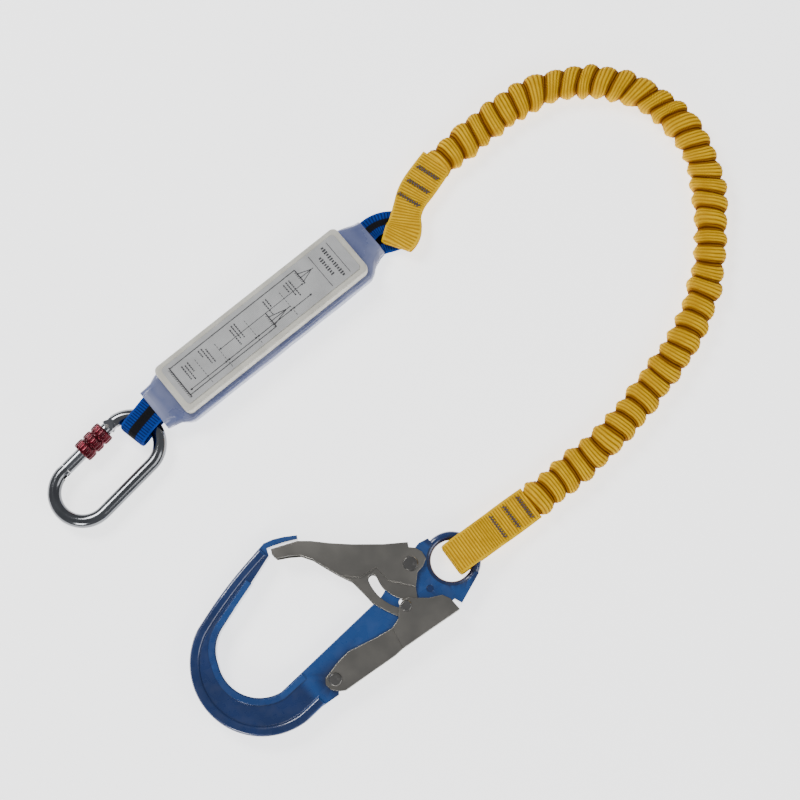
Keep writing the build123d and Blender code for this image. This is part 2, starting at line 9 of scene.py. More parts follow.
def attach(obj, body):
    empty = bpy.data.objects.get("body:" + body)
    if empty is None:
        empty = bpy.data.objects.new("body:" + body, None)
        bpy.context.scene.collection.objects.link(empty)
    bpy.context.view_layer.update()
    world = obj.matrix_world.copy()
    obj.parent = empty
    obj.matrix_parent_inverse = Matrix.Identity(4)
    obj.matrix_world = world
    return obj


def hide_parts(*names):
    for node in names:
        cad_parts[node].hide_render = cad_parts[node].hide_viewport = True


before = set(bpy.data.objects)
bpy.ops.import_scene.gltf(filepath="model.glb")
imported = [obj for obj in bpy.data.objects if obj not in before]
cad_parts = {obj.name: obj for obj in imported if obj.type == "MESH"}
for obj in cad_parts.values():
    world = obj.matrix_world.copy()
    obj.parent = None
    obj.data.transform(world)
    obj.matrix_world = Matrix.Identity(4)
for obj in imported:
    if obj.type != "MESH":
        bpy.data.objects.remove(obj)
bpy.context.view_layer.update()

# Shock absorbing lanyard. Metres, in the CAD model's own frame; MM turns millimetres into metres.
MM = 0.001

# ---------------------------------------------------------------- layout, as in the CAD model
PACK_CENTRE = (-26.5, 95.0)
PACK_ANGLE = 39.6
CARABINER_CENTRE = (-148.5, -23.0)
CARABINER_ANGLE = 46.5
CARABINER_Z = 10.8
GATE_LEFT = 23.2
LEG_Z = 11.0
CROSSING = (-118.3, 15.9)
CROSSING_ANGLE = 52.0
HOOK_STRAP_START = (123.7, -97.1)
HOOK_STRAP_ANGLE = 36.0
ELASTIC_ROUTE = [
    (109.5, 224.5),
    (147.0, 258.0),
    (188.0, 290.5),
    (233.0, 304.5),
    (279.5, 296.5),
    (317.0, 268.0),
    (337.0, 225.5),
    (338.5, 178.0),
    (334.0, 131.0),
    (317.0, 87.0),
    (290.0, 49.0),
    (260.5, 11.5),
    (226.0, -21.0),
    (187.0, -51.0),
]

# ---------------------------------------------------------------- camera, light and floor
TARGET = Vector((0.084, 0.032, 0.012))
CAMERA_AWAY = 1.3
CAMERA_RISE = math.radians(79.0)
LENS = 73.1
FLOOR_SIZE = 60
FLOOR_GLOW = 1.9
WORLD_SHADE = (0.30, 0.31, 0.33)
LIGHTS = (
    # name, place, size in metres, power in watts
    ("key", (-0.9, 0.9, 1.5), 0.7, 26),
    ("fill", (1.3, -0.7, 1.3), 1.0, 12),
    ("strip", (-0.5, -1.3, 0.8), 0.4, 9),
)


def add_camera():
    """The camera looks steeply down at the lanyard."""
    data = bpy.data.cameras.new("camera")
    data.lens = LENS
    camera = bpy.data.objects.new("camera", data)
    back = Vector((0, -math.cos(CAMERA_RISE), math.sin(CAMERA_RISE)))
    camera.location = TARGET + back * CAMERA_AWAY
    camera.rotation_mode = "QUATERNION"
    camera.rotation_quaternion = (-back).to_track_quat("-Z", "Y")
    bpy.context.scene.collection.objects.link(camera)
    bpy.context.scene.camera = camera


def add_light(name, place, size, power):
    """A square soft light that faces the camera's target."""
    data = bpy.data.lights.new(name, "AREA")
    data.energy = power
    data.size = size
    light = bpy.data.objects.new(name, data)
    light.location = place
    light.rotation_mode = "QUATERNION"
    light.rotation_quaternion = (TARGET - Vector(place)).to_track_quat("-Z", "Y")
    bpy.context.scene.collection.objects.link(light)


def add_world(shade):
    """An even grey surround, which is also what the metal reflects."""
    world = bpy.data.worlds.new("studio")
    world.use_nodes = True
    world.node_tree.nodes["Background"].inputs["Color"].default_value = (*shade, 1)
    bpy.context.scene.world = world


# ---------------------------------------------------------------- materials
class Finish:
    """A procedural material being built: short calls for the nodes that it needs."""

    def __init__(self, name, base, roughness=0.5, **more):
        self.material = bpy.data.materials.new(name)
        self.material.use_nodes = True
        self.tree = self.material.node_tree
        self.shader = self.tree.nodes["Principled BSDF"]
        self.shader.inputs["Base Color"].default_value = (*base, 1)
        self.shader.inputs["Roughness"].default_value = roughness
        for socket, value in more.items():
            self.shader.inputs[socket.replace("_", " ")].default_value = value
        self.normal = None

    def node(self, kind, **settings):
        made = self.tree.nodes.new(kind)
        for key, value in settings.items():
            setattr(made, key, value)
        return made

    def plug(self, source, target):
        self.tree.links.new(source, target)

    def place(self):
        return self.node("ShaderNodeTexCoord").outputs["Object"]

    def stretched(self, scale):
        """Object coordinates scaled along each axis, for brushed grain."""
        mapping = self.node("ShaderNodeMapping")
        mapping.inputs["Scale"].default_value = scale
        self.plug(self.place(), mapping.inputs["Vector"])
        return mapping.outputs["Vector"]

    def attribute(self, name):
        return self.node("ShaderNodeAttribute", attribute_name=name)

    def grain(self, scale, detail=3, source=None):
        """Noise from 0 to 1, at a scale in cells per metre."""
        made = self.node("ShaderNodeTexNoise")
        made.inputs["Scale"].default_value = scale
        made.inputs["Detail"].default_value = detail
        self.plug(source or self.place(), made.inputs["Vector"])
        return made.outputs["Fac"]

    def span(self, value, low, high, to_low=0.0, to_high=1.0):
        """The value from low to high, mapped smoothly onto another span."""
        made = self.node("ShaderNodeMapRange", interpolation_type="SMOOTHSTEP")
        ends = {"From Min": low, "From Max": high, "To Min": to_low, "To Max": to_high}
        for socket, number in ends.items():
            made.inputs[socket].default_value = number
        self.plug(value, made.inputs["Value"])
        return made.outputs["Result"]

    def mix(self, factor, first, second):
        """Two colours, or a colour node's output and a colour, blended by a factor."""
        made = self.node("ShaderNodeMix", data_type="RGBA")
        self.plug(factor, made.inputs["Factor"])
        for socket, value in ((made.inputs[6], first), (made.inputs[7], second)):
            if isinstance(value, tuple):
                socket.default_value = (*value, 1)
            else:
                self.plug(value, socket)
        return made.outputs[2]

    def sine(self, value, pitch):
        """A ripple from -1 to 1 that repeats each pitch."""
        scaled = self.node("ShaderNodeMath", operation="MULTIPLY")
        self.plug(value, scaled.inputs[0])
        scaled.inputs[1].default_value = 2 * math.pi / pitch
        made = self.node("ShaderNodeMath", operation="SINE")
        self.plug(scaled.outputs[0], made.inputs[0])
        return made.outputs[0]

    def edge_wear_and_highlight(self):
        """High on outer edges, low in hollows: worn edges on steel, painted highlight on enamel and
        anodising.
        """
        return self.node("ShaderNodeNewGeometry").outputs["Pointiness"]

    def product(self, first, second):
        made = self.node("ShaderNodeMath", operation="MULTIPLY")
        self.plug(first, made.inputs[0])
        self.plug(second, made.inputs[1])
        return made.outputs[0]

    def colour(self, source):
        self.plug(source, self.shader.inputs["Base Color"])

    def rough(self, source):
        self.plug(source, self.shader.inputs["Roughness"])

    def soften_edges(self, radius):
        """Edges catch the light as if rounded to this radius, once a bump follows."""
        made = self.node("ShaderNodeBevel", samples=6)
        made.inputs["Radius"].default_value = radius
        self.normal = made.outputs["Normal"]

    def bump(self, source, depth, strength=1.0):
        """Adds one more layer of surface relief, of a depth in metres."""
        made = self.node("ShaderNodeBump")
        made.inputs["Strength"].default_value = strength
        made.inputs["Distance"].default_value = depth
        self.plug(source, made.inputs["Height"])
        if self.normal:
            self.plug(self.normal, made.inputs["Normal"])
        self.normal = made.outputs["Normal"]
        self.plug(self.normal, self.shader.inputs["Normal"])


WEFT_PITCH = 0.9 * MM
WARP_PITCH = 1.2 * MM
STRIPE_EDGES = (0.37, 0.30)


def webbing(name, light, dark, painted_crease_shade, stripe=None):
    """Ribbed woven band: bright ridges, painted shade in its valleys and creases, yarn relief, maybe a
    stripe.
    """
    f = Finish(name, light, 0.8, Specular_IOR_Level=0.12)
    weave = f.attribute("weave")
    split = f.node("ShaderNodeSeparateXYZ")
    f.plug(weave.outputs["Vector"], split.inputs[0])
    # the weave attribute's third value is the mask for painted shade: 0 on rib ridges, rising into the
    # valleys and creases
    across, along, crease = split.outputs
    yarn = f.grain(900, 4)
    # painted shade: the ridge colour darkens to the valley colour in the rib valleys
    shade = f.mix(f.span(crease, 0.02, 0.42), light, dark)
    shade = f.mix(f.span(f.grain(140, 4), 0.35, 0.75, 0.0, 0.45), shade, dark)
    shade = f.mix(f.span(yarn, 0.52, 0.75, 0.0, 0.4), shade, dark)
    if stripe:
        size = f.node("ShaderNodeMath", operation="ABSOLUTE")
        f.plug(f.attribute("share").outputs["Fac"], size.inputs[0])
        shade = f.mix(f.span(size.outputs[0], *STRIPE_EDGES), shade, stripe)
    # painted shade: the deepest creases take the crease colour
    f.colour(f.mix(f.span(crease, 0.40, 1.05), shade, painted_crease_shade))
    f.rough(f.span(yarn, 0.2, 0.8, 0.6, 0.88))
    threads = f.product(f.sine(across, WEFT_PITCH), f.sine(along, WARP_PITCH))
    f.bump(threads, 0.12 * MM, 0.8)
    f.bump(yarn, 0.15 * MM, 0.7)
    return f.material


def brushed(name, base, rough, scale, wear=0.35, edge_radius=0.3 * MM):
    """Plated or stamped steel with a directional grain, stains and fine scratches."""
    f = Finish(name, base, rough, Metallic=1.0)
    f.soften_edges(edge_radius)
    grain = f.grain(1, 5, f.stretched(scale))
    stain = f.grain(45, 5)
    dark = tuple(c * (1 - wear) for c in base)
    pale = tuple(min(1.0, c * 1.25) for c in base)
    shade = f.mix(f.span(stain, 0.35, 0.7), base, dark)
    shade = f.mix(f.span(grain, 0.5, 0.8), shade, pale)
    edge = f.edge_wear_and_highlight()
    f.colour(f.mix(f.span(edge, 0.53, 0.6), shade, pale))
    f.rough(f.span(stain, 0.3, 0.75, rough * 0.9, min(1.0, rough * 1.15)))
    f.bump(grain, 0.03 * MM, 0.35)
    f.bump(f.grain(600, 2), 0.02 * MM, 0.3)
    return f.material


def enamel(name, base, painted_edge_highlight):
    """Glossy paint over a forging: orange peel, a painted highlight in lighter blue on its edges, small
    marks.
    """
    f = Finish(name, base, 0.35, Metallic=0.1, Coat_Weight=1.0, Coat_Roughness=0.06)
    f.soften_edges(1.2 * MM)
    mottle = f.grain(30, 4)
    shade = f.mix(f.span(mottle, 0.3, 0.7), base, tuple(c * 0.7 for c in base))
    edge = f.edge_wear_and_highlight()
    # painted highlight: a lighter blue on the outer edges
    f.colour(f.mix(f.span(edge, 0.515, 0.57, 0.0, 0.7), shade, painted_edge_highlight))
    f.rough(f.span(f.grain(120, 4), 0.35, 0.7, 0.22, 0.42))
    f.bump(f.grain(350, 2), 0.05 * MM, 0.35)
    return f.material


def anodised(name, base):
    """Deep dyed metal with a soft grain, and a painted highlight in brighter red on its edges."""
    f = Finish(name, base, 0.3, Metallic=0.85, Coat_Weight=0.3)
    f.soften_edges(0.6 * MM)
    edge = f.edge_wear_and_highlight()
    shade = f.mix(f.span(f.grain(200, 4), 0.3, 0.7), base, tuple(c * 0.55 for c in base))
    # painted highlight: a brighter red on the outer edges
    f.colour(f.mix(f.span(edge, 0.52, 0.6), shade, (0.26, 0.006, 0.028)))
    f.rough(f.span(f.grain(400, 3), 0.3, 0.7, 0.22, 0.42))
    f.bump(f.grain(1200, 2), 0.05 * MM, 0.5)
    return f.material


def film(name):
    """Milky lavender film, glossy, with soft clouding, and a painted highlight on its fold crests where
    it is drawn tight.
    """
    f = Finish(name, (0.17, 0.20, 0.38), 0.28, Transmission_Weight=0.22, IOR=1.4, Coat_Weight=0.5)
    cloud = f.grain(35, 4)
    shade = f.mix(f.span(cloud, 0.35, 0.7), (0.14, 0.17, 0.35), (0.24, 0.27, 0.46))
    crease = f.attribute("share").outputs["Fac"]
    # painted highlight: paler lavender on the fold crests at the necks
    f.colour(f.mix(f.span(crease, 0.1, 0.9, 0.0, 0.6), shade, (0.40, 0.42, 0.58)))
    f.rough(f.span(cloud, 0.3, 0.7, 0.2, 0.42))
    f.bump(f.grain(90, 3), 0.5 * MM, 0.5)
    f.bump(f.grain(420, 2), 0.1 * MM, 0.4)
    return f.material


def cover(name, base, shade_to, weave_pitch=1.1 * MM):
    """Soft pale cover cloth with a fine square weave."""
    f = Finish(name, base, 0.75, Sheen_Weight=0.15)
    split = f.node("ShaderNodeSeparateXYZ")
    f.plug(f.place(), split.inputs[0])
    x, y, _ = split.outputs
    threads = f.product(f.sine(x, weave_pitch), f.sine(y, weave_pitch))
    shade = f.mix(f.span(f.grain(60, 4), 0.3, 0.75), base, shade_to)
    f.colour(f.mix(f.span(threads, 0.2, 1.0, 0.0, 0.35), shade, shade_to))
    f.rough(f.span(f.grain(500, 3), 0.3, 0.7, 0.6, 0.85))
    f.bump(threads, 0.08 * MM, 0.7)
    f.bump(f.grain(900, 3), 0.1 * MM, 0.5)
    return f.material


def ink(name, base):
    """Printed or stitched dark mark, slightly uneven."""
    f = Finish(name, base, 0.6)
    worn = tuple(min(1.0, c * 2.2 + 0.02) for c in base)
    f.colour(f.mix(f.span(f.grain(900, 3), 0.35, 0.7), base, worn))
    f.bump(f.grain(1500, 2), 0.05 * MM, 0.5)
    return f.material


def floor_finish():
    """Near white, with a glow that keeps it as pale as a studio sweep."""
    glow = {"Emission_Color": (1, 1, 1, 1), "Emission_Strength": FLOOR_GLOW}
    f = Finish("studio_floor", (0.92, 0.92, 0.92), 0.8, **glow)
    f.colour(f.mix(f.span(f.grain(3, 2), 0.3, 0.7), (0.93, 0.93, 0.93), (0.90, 0.90, 0.905)))
    return f.material


# ---------------------------------------------------------------- geometry helpers
def level(point, angle, ahead, left, height):
    """A point given ahead and to the left of another, with x along the angle, in metres."""
    turn = math.radians(angle)
    x = point[0] + ahead * math.cos(turn) - left * math.sin(turn)
    y = point[1] + ahead * math.sin(turn) + left * math.cos(turn)
    return Vector((x, y, height)) * MM


def spline_points(controls, resolution=24):
    """Points along the NURBS spline that has these control points."""
    data = bpy.data.curves.new("line", "CURVE")
    data.dimensions = "3D"
    data.resolution_u = resolution
    spline = data.splines.new("NURBS")
    spline.points.add(len(controls) - 1)
    for point, place in zip(spline.points, controls):
        point.co = (*place, 1)
    spline.order_u = 3
    spline.use_endpoint_u = True
    holder = bpy.data.objects.new("line", data)
    mesh = bpy.data.meshes.new_from_object(holder)
    found = np.array([v.co for v in mesh.vertices], float)
    bpy.data.objects.remove(holder)
    bpy.data.curves.remove(data)
    bpy.data.meshes.remove(mesh)
    return found


def even(points, others, step):
    """The points, and the values that go with them, at an even spacing along the line."""
    gaps = np.linalg.norm(np.diff(points, axis=0), axis=1)
    reach = np.concatenate([[0], np.cumsum(gaps)])
    count = max(2, round(reach[-1] / step) + 1)
    at = np.linspace(0, reach[-1], count)
    line = np.stack([np.interp(at, reach, points[:, k]) for k in range(3)], axis=1)
    rest = np.stack([np.interp(at, reach, others[:, k]) for k in range(others.shape[1])], axis=1)
    return line, rest, at


def tangents(line):
    """Unit directions along a line of points."""
    ahead = np.gradient(line, axis=0)
    return ahead / np.linalg.norm(ahead, axis=1)[:, None]


def rings_to_mesh(name, rings, material, weave=None, share=None, capped=True):
    """A mesh through rings of points, with weave and share values stored for its material."""
    count, around = rings.shape[:2]
    weave = np.zeros((count, around, 3)) if weave is None else weave
    share = np.zeros((count, around)) if share is None else share
    faces = []
    for i in range(count - 1):
        here, there = i * around, (i + 1) * around
        for j in range(around):
            k = (j + 1) % around
            faces.append((here + j, here + k, there + k, there + j))
    if capped:
        faces.append(tuple(reversed(range(around))))
        faces.append(tuple(range((count - 1) * around, count * around)))
    mesh = bpy.data.meshes.new(name)
    mesh.from_pydata(rings.reshape(-1, 3).tolist(), [], faces)
    mesh.update()
    stored = mesh.attributes.new("weave", "FLOAT_VECTOR", "POINT")
    stored.data.foreach_set("vector", weave.reshape(-1))
    stored = mesh.attributes.new("share", "FLOAT", "POINT")
    stored.data.foreach_set("value", share.reshape(-1))
    mesh.polygons.foreach_set("use_smooth", [True] * len(mesh.polygons))
    mesh.materials.append(material)
    piece = bpy.data.objects.new(name, mesh)
    bpy.context.scene.collection.objects.link(piece)
    return piece


def band_section(cells, corner_cells=4):
    """Round-edged flat section: places across from -1 to 1, and which face, from -1 to 1."""
    top = np.linspace(1, -1, cells)
    turn = np.linspace(0, math.pi, corner_cells + 2)[1:-1]
    places, sides, bulge = list(top), [1.0] * cells, [0.0] * cells
    for angle in turn:
        places.append(-1)
        sides.append(math.cos(angle))
        bulge.append(-math.sin(angle))
    places += list(-top)
    sides += [-1.0] * cells
    bulge += [0.0] * cells
    for angle in turn:
        places.append(1)
        sides.append(-math.cos(angle))
        bulge.append(math.sin(angle))
    return np.array(places), np.array(sides), np.array(bulge)


STRAP_CELLS = 22
RIB_ROUND = 0.8
EDGE_FADE = 0.06


def strap(name, controls, material, thick, rib, rib_high, step=0.4):
    """Flat ribbed webbing along a path. Each control: place in mm, heading, width in mm, roll."""
    rows = np.array(controls, float)
    line, rest, at = even(spline_points(rows[:, :3] * MM), spline_points(rows[:, 3:6]), step * MM)
    ahead = tangents(line)
    heading = np.radians(rest[:, 0])
    side = np.stack([-np.sin(heading), np.cos(heading), np.zeros(len(heading))], axis=1)
    side -= (side * ahead).sum(1)[:, None] * ahead
    side /= np.linalg.norm(side, axis=1)[:, None]
    up = np.cross(ahead, side)
    roll = np.radians(rest[:, 2])[:, None]
    side, up = side * np.cos(roll) + up * np.sin(roll), up * np.cos(roll) - side * np.sin(roll)
    places, faces, bulge = band_section(STRAP_CELLS)
    half = rest[:, 1] / 2 * MM
    ribs = rib_high * MM * np.abs(np.sin(math.pi * at / (rib * MM))) ** RIB_ROUND
    fade = np.clip((1 - np.abs(places)) / EDGE_FADE, 0, 1)
    out = (half[:, None] - thick / 2 * MM) * places + thick / 2 * MM * bulge
    rise = (thick / 2 * MM - rib_high * MM + ribs[:, None] * fade) * faces
    rings = line[:, None, :] + out[..., None] * side[:, None, :] + rise[..., None] * up[:, None, :]
    # painted shade mask: dark in the valleys between the ribs, fading out towards the edges
    crease = (1 - ribs / (rib_high * MM))[:, None] ** RIB_ROUND * fade * 0.62
    weave = np.stack([out, np.repeat(at[:, None], len(places), 1), crease], axis=2)
    share = np.repeat(places[None, :], len(at), 0)
    return rings_to_mesh(name, rings, material, weave, share)


# ---------------------------------------------------------------- elastic leg
ELASTIC_HALF_WIDE = 14.8
ELASTIC_HALF_HIGH = 9.4
LOBE = 14.6
LOBE_RIBS = 6
RIB_HIGH = 0.5
LEG_STEP = 0.26
LEG_AROUND = 60
LEG_SLANT = -0.30
SLANT_REACH = 0.6
END_FLAT = 7
UNDER_ALL = 0.2


def elastic_leg(material):
    """Gathered tubular webbing: tilted puffs between tight creases, ribbed across."""
    route = [(x * MM, y * MM, LEG_Z * MM) for x, y in ELASTIC_ROUTE]
    points = spline_points(route, 40)
    line, _, at = even(points, points, LEG_STEP * MM)
    ahead = tangents(line)
    up = np.array([0.0, 0.0, 1.0])
    side = np.cross(up, ahead)
    side /= np.linalg.norm(side, axis=1)[:, None]
    length = at[-1]
    lobes = round(length / (LOBE * MM))
    pitch = length / lobes
    jitter = random.Random(11)
    inner = [pitch * (k + jitter.uniform(-0.13, 0.13)) for k in range(1, lobes)]
    edges = np.array([-pitch, 0.0, *inner, length, length + pitch])
    swell = np.array([jitter.uniform(0.93, 1.06) for _ in edges])
    lean = np.array([jitter.uniform(-0.10, 0.10) for _ in edges])
    skew = np.array([jitter.uniform(0.8, 1.25) for _ in edges])
    angle = np.linspace(0, 2 * math.pi, LEG_AROUND, endpoint=False)
    ring_wide = np.sign(np.cos(angle)) * np.abs(np.cos(angle)) ** 0.72
    ring_high = np.sign(np.sin(angle)) * np.abs(np.sin(angle)) ** 0.82
    # the folds stand square at both ends and lean backwards round the upper bend
    slant = LEG_SLANT * np.sin(np.clip(at / length / SLANT_REACH, 0, 1) * math.pi)
    place = at[:, None] + ELASTIC_HALF_WIDE * MM * ring_wide[None, :] * slant[:, None]
    place = place + 1.0 * MM * np.sin(2 * angle + 3 * at[:, None] / pitch * 0.35)
    which = np.clip(np.searchsorted(edges, place, side="right") - 1, 0, len(edges) - 2)
    phase = (place - edges[which]) / (edges[which + 1] - edges[which])
    phase = np.clip(phase, 0, 1) ** skew[which]
    puff = np.sin(math.pi * phase) ** 0.55
    tip = 1 - np.abs(2 * phase - 1)
    outer = np.clip(-ring_wide, 0, 1)[None, :] ** 3
    shape = puff * (1 - 0.75 * outer) + tip * 0.75 * outer
    turned = np.arcsin(np.clip(2 * phase - 1, -1, 1)) / math.pi + 0.5
    fabric = 0.55 * phase + 0.45 * turned
    ribs = np.abs(np.sin(math.pi * LOBE_RIBS * fabric)) ** 0.9
    # a soft fold line runs down each puff and parts its shoulder, which gets painted shade on its upper
    # side, from its ribbed belly
    wander = 0.35 * np.sin(at / length * 7.5)[:, None]
    belly = 0.5 + 0.5 * np.tanh((wander + ring_wide[None, :] + 0.3) * 2.2)
    wide = ELASTIC_HALF_WIDE * (0.71 + 0.29 * shape) * swell[which]
    high = ELASTIC_HALF_HIGH * (0.60 + 0.40 * puff) * swell[which]
    # each end closes down on to the flat sewn webbing
    from_end = np.minimum(at - END_FLAT * MM, length - at)
    open_up = np.clip(from_end / (END_FLAT * MM), 0, 1)[:, None]
    open_up = open_up * open_up * (3 - 2 * open_up)
    high = high * (0.22 + 0.78 * open_up)
    wide = wide * (0.92 + 0.08 * open_up)
    relief = RIB_HIGH * (ribs - 1)
    out = (wide + relief) * ring_wide[None, :] * MM
    rise = (high + relief) * ring_high[None, :] * MM
    roll = (0.12 * np.sin(at / length * 17) + lean[which[:, 0]] * 0.4)[:, None]
    out, rise = out * np.cos(roll) - rise * np.sin(roll), rise * np.cos(roll) + out * np.sin(roll)
    rings = line[:, None, :] + out[..., None] * side[:, None, :] + rise[..., None] * up
    rings[..., 2] = np.maximum(rings[..., 2], UNDER_ALL * MM)
    # painted shade mask: the pinched creases between puffs, the rib valleys (more on the belly) and the
    # upper side of each shoulder
    facing = np.clip(ring_high, -0.2, 1)[None, :]
    crease = np.clip(1.25 - 1.55 * puff, 0, 1) + (0.30 + 0.55 * belly) * (1 - ribs) ** 1.2
    crease = crease + 0.22 * (1 - belly) * facing
    around = angle[None, :] / math.pi * ELASTIC_HALF_WIDE * 1.6 * MM * np.ones_like(place)
    weave = np.stack([around, fabric * 2.3 * LOBE * MM + which * 0.0313, crease], axis=2)
    piece = rings_to_mesh("elastic_leg", rings, material, weave)
    return piece, points


# ---------------------------------------------------------------- eyes and loops
# thickness, rib pitch and rib height
BLUE_WEB = (2.0, 2.2, 0.36)
TEAR_WEB = (1.9, 2.4, 0.2)
TEAR_LAYERS = 6
TEAR_LAYER_HIGH = 2.13


def in_plane(start, angle, base_z, rows):
    """Controls from (ahead, height, width, roll) rows in a standing plane."""
    made = []
    for ahead, high, wide, roll in rows:
        x, y, z = level(start, angle, ahead, 0, base_z + high) / MM
        made.append((x, y, z, angle, wide, roll))
    return made


def eye_at_hook(material):
    """Sewn eye round the hook's ring."""
    top = [
        (79, 1.3, 28.5, 0), (66, 1.3, 29, 0), (54, 1.4, 29, 0), (44, 1.8, 28.5, 0), (36, 5.6, 28, 0),
        (28, 9.0, 27.6, 0), (18, 9.5, 27.4, 0), (9, 9.5, 27.2, 0), (1.3, 9.2, 27, 0),
    ]
    rows = top + [(a, -h, w, -r) for a, h, w, r in reversed(top)]
    controls = in_plane(HOOK_STRAP_START, HOOK_STRAP_ANGLE, LEG_Z, rows)
    return strap("yellow_eye_hook", controls, material, 2.4, 2.4, RIB_HIGH)


def eye_at_absorber(material):
    """Sewn eye linked through the absorber's loop."""
    top = [
        (114.6, 233.0, 12.4, 55, 27.5), (110.4, 226.8, 12.4, 56, 28.5), (104, 217.6, 12.3, 56, 29),
        (98.5, 209.6, 12.4, 57, 29), (94.0, 202.2, 12.9, 60, 27), (91.0, 194.2, 14.0, 65, 24.5),
        (88.8, 185.0, 14.8, 72, 24.5), (87.8, 174.4, 14.9, 76, 30), (84.0, 166.4, 14.8, 74, 29.5),
        (80.4, 160.4, 14.5, 72, 24.5),
    ]
    # the lower layer mirrors the upper one, and runs level below the fold
    bottom = [(x, y, 2 * LEG_Z - z if z < 14 else 7.6, h, w) for x, y, z, h, w in reversed(top)]
    controls = [(*row, 0) for row in top + bottom]
    return strap("yellow_eye_absorber", controls, material, 2.3, 2.4, RIB_HIGH)


def loop_at_carabiner(material):
    """Blue webbing over the carabiner's rod and back into the pack."""
    rows = [
        (48, -0.6, 24, 0), (38, -0.9, 25, 0), (28, 1.0, 26, 0), (18, 6.2, 25.5, 0),
        (8, 9.3, 24, 0), (-4, 10.3, 23, 0), (-17.6, 9.8, 24, 0), (-17.6, -9.2, 21, 0),
        (-4, -9.3, 20, 0), (8, -9.3, 20, 0), (20, -8.4, 20, 0), (33, -7.2, 21, 0),
        (46, -6.2, 22, 0),
    ]
    controls = in_plane(CROSSING, CROSSING_ANGLE, CARABINER_Z, rows)
    return strap("blue_loop_carabiner", controls, material, *BLUE_WEB)


def loop_at_lanyard(material):
    """Blue webbing folded through the yellow eye."""
    controls = [
        (32, 139, 10.5, 50, 24, 0), (41, 150, 10.8, 50, 24, 0), (50, 163, 11.1, 50, 21, 0),
        (58, 174, 11.2, 34, 19, 0), (68, 180.0, 11.2, 12, 18, 0), (78, 181.4, 11.2, 3, 17.5, 0),
        (87, 181.0, 11.1, 0, 17, 0), (94.5, 179.0, 11.0, 0, 17, 0), (94.5, 175.0, 4.3, 4, 18, 0),
        (87, 172.0, 4.1, 8, 22, 0), (78, 170.2, 4.1, 9, 25.5, 0), (68, 168, 4.1, 14, 26, 0),
        (56, 162, 4.2, 36, 25, 0), (44, 152, 4.3, 43, 24, 0), (33, 140, 4.6, 45, 24, 0),
    ]
    return strap("blue_loop_lanyard", controls, material, *BLUE_WEB)


def tear_webbing(material):
    """The absorber's folded webbing, stacked in layers inside the film."""
    controls = []
    for k in range(TEAR_LAYERS):
        way = 1 if k % 2 == 0 else -1
        z = 1.9 + k * TEAR_LAYER_HIGH
        for ahead in (-84, -60, -20, 20, 60, 84):
            x, y, _ = level(PACK_CENTRE, PACK_ANGLE, way * ahead, -2.25, 0) / MM
            controls.append((x, y, z, PACK_ANGLE, 45, 0))
    return strap("folded_tear_webbing", controls, material, *TEAR_WEB, step=1.2)


# ---------------------------------------------------------------- screw sleeve
SLEEVE_BORE = 5.4
SLEEVE_GROOVE = 7.5
SLEEVE_BANDS = ((-5.6, 2.9), (3.7, 11.4), (12.2, 20.4))
BAND_HIGH = 1.5
SCALLOPS = 7


def screw_sleeve(material):
    """The gate's sleeve: three rounded bands of finger scallops round a plain bore."""
    around = 168
    angle = np.linspace(0, 2 * math.pi, around, endpoint=False)
    scallop = 0.45 + 0.55 * np.abs(np.cos(SCALLOPS * angle)) ** 0.7
    low, high = SLEEVE_BANDS[0][0], SLEEVE_BANDS[-1][1]
    rows = [(low, np.full(around, SLEEVE_BORE))]
    for ahead in np.linspace(low, high, 131):
        crown = 0.0
        for start, end in SLEEVE_BANDS:
            share = (2 * ahead - start - end) / (end - start)
            crown = max(crown, math.sqrt(max(0.0, 1 - share ** 4)))
        rows.append((ahead, SLEEVE_GROOVE + BAND_HIGH * crown * scallop))
    rows += [(high, np.full(around, SLEEVE_BORE)), (low, np.full(around, SLEEVE_BORE))]
    rings = []
    for ahead, radii in rows:
        lefts, heights = GATE_LEFT + radii * np.cos(angle), CARABINER_Z + radii * np.sin(angle)
        ring = [level(CARABINER_CENTRE, CARABINER_ANGLE, ahead, *p) for p in zip(lefts, heights)]
        rings.append([tuple(place) for place in ring])
    return rings_to_mesh("screw_sleeve", np.array(rings), material, capped=False)


# ---------------------------------------------------------------- film, pad and label
FILM_SECTIONS = [
    # ahead, left, width, low, high, corner
    (-112.0, -1.0, 35.0, 0.8, 20.6, 6.0),
    (-108.0, -1.0, 35.5, 0.4, 20.8, 6.0),
    (-101.0, -1.3, 40.0, 0.2, 18.4, 5.5),
    (-95.0, -2.0, 47.5, 0.1, 15.6, 4.5),
    (-91.5, -2.25, 49.6, 0.0, 14.8, 3.6),
    (0.0, -2.25, 50.0, 0.0, 14.9, 3.2),
    (91.5, -2.25, 49.6, 0.0, 14.8, 3.6),
    (96.0, -1.6, 46.5, 0.1, 14.8, 4.5),
    (102.0, 0.0, 40.0, 0.2, 14.9, 5.0),
    (109.0, 1.0, 34.5, 0.4, 15.0, 5.0),
    (114.0, 1.0, 33.5, 0.8, 14.8, 5.0),
]


def round_box(count, wide, high, corner):
    """Points round a rounded rectangle, evenly by angle share, from its right side."""
    quarter = count // 4
    found = []
    for k, (sx, sy) in enumerate(((1, 1), (-1, 1), (-1, -1), (1, -1))):
        for j in range(quarter):
            turn = math.pi / 2 * (k + j / (quarter - 1))
            x = sx * (wide / 2 - corner) + corner * math.cos(turn)
            y = sy * (high / 2 - corner) + corner * math.sin(turn)
            found.append((x, y))
    return np.array(found)


FILM_START, FILM_END = -112.0, 114.1
FILM_NECK = 88.0
FILM_AROUND = 96


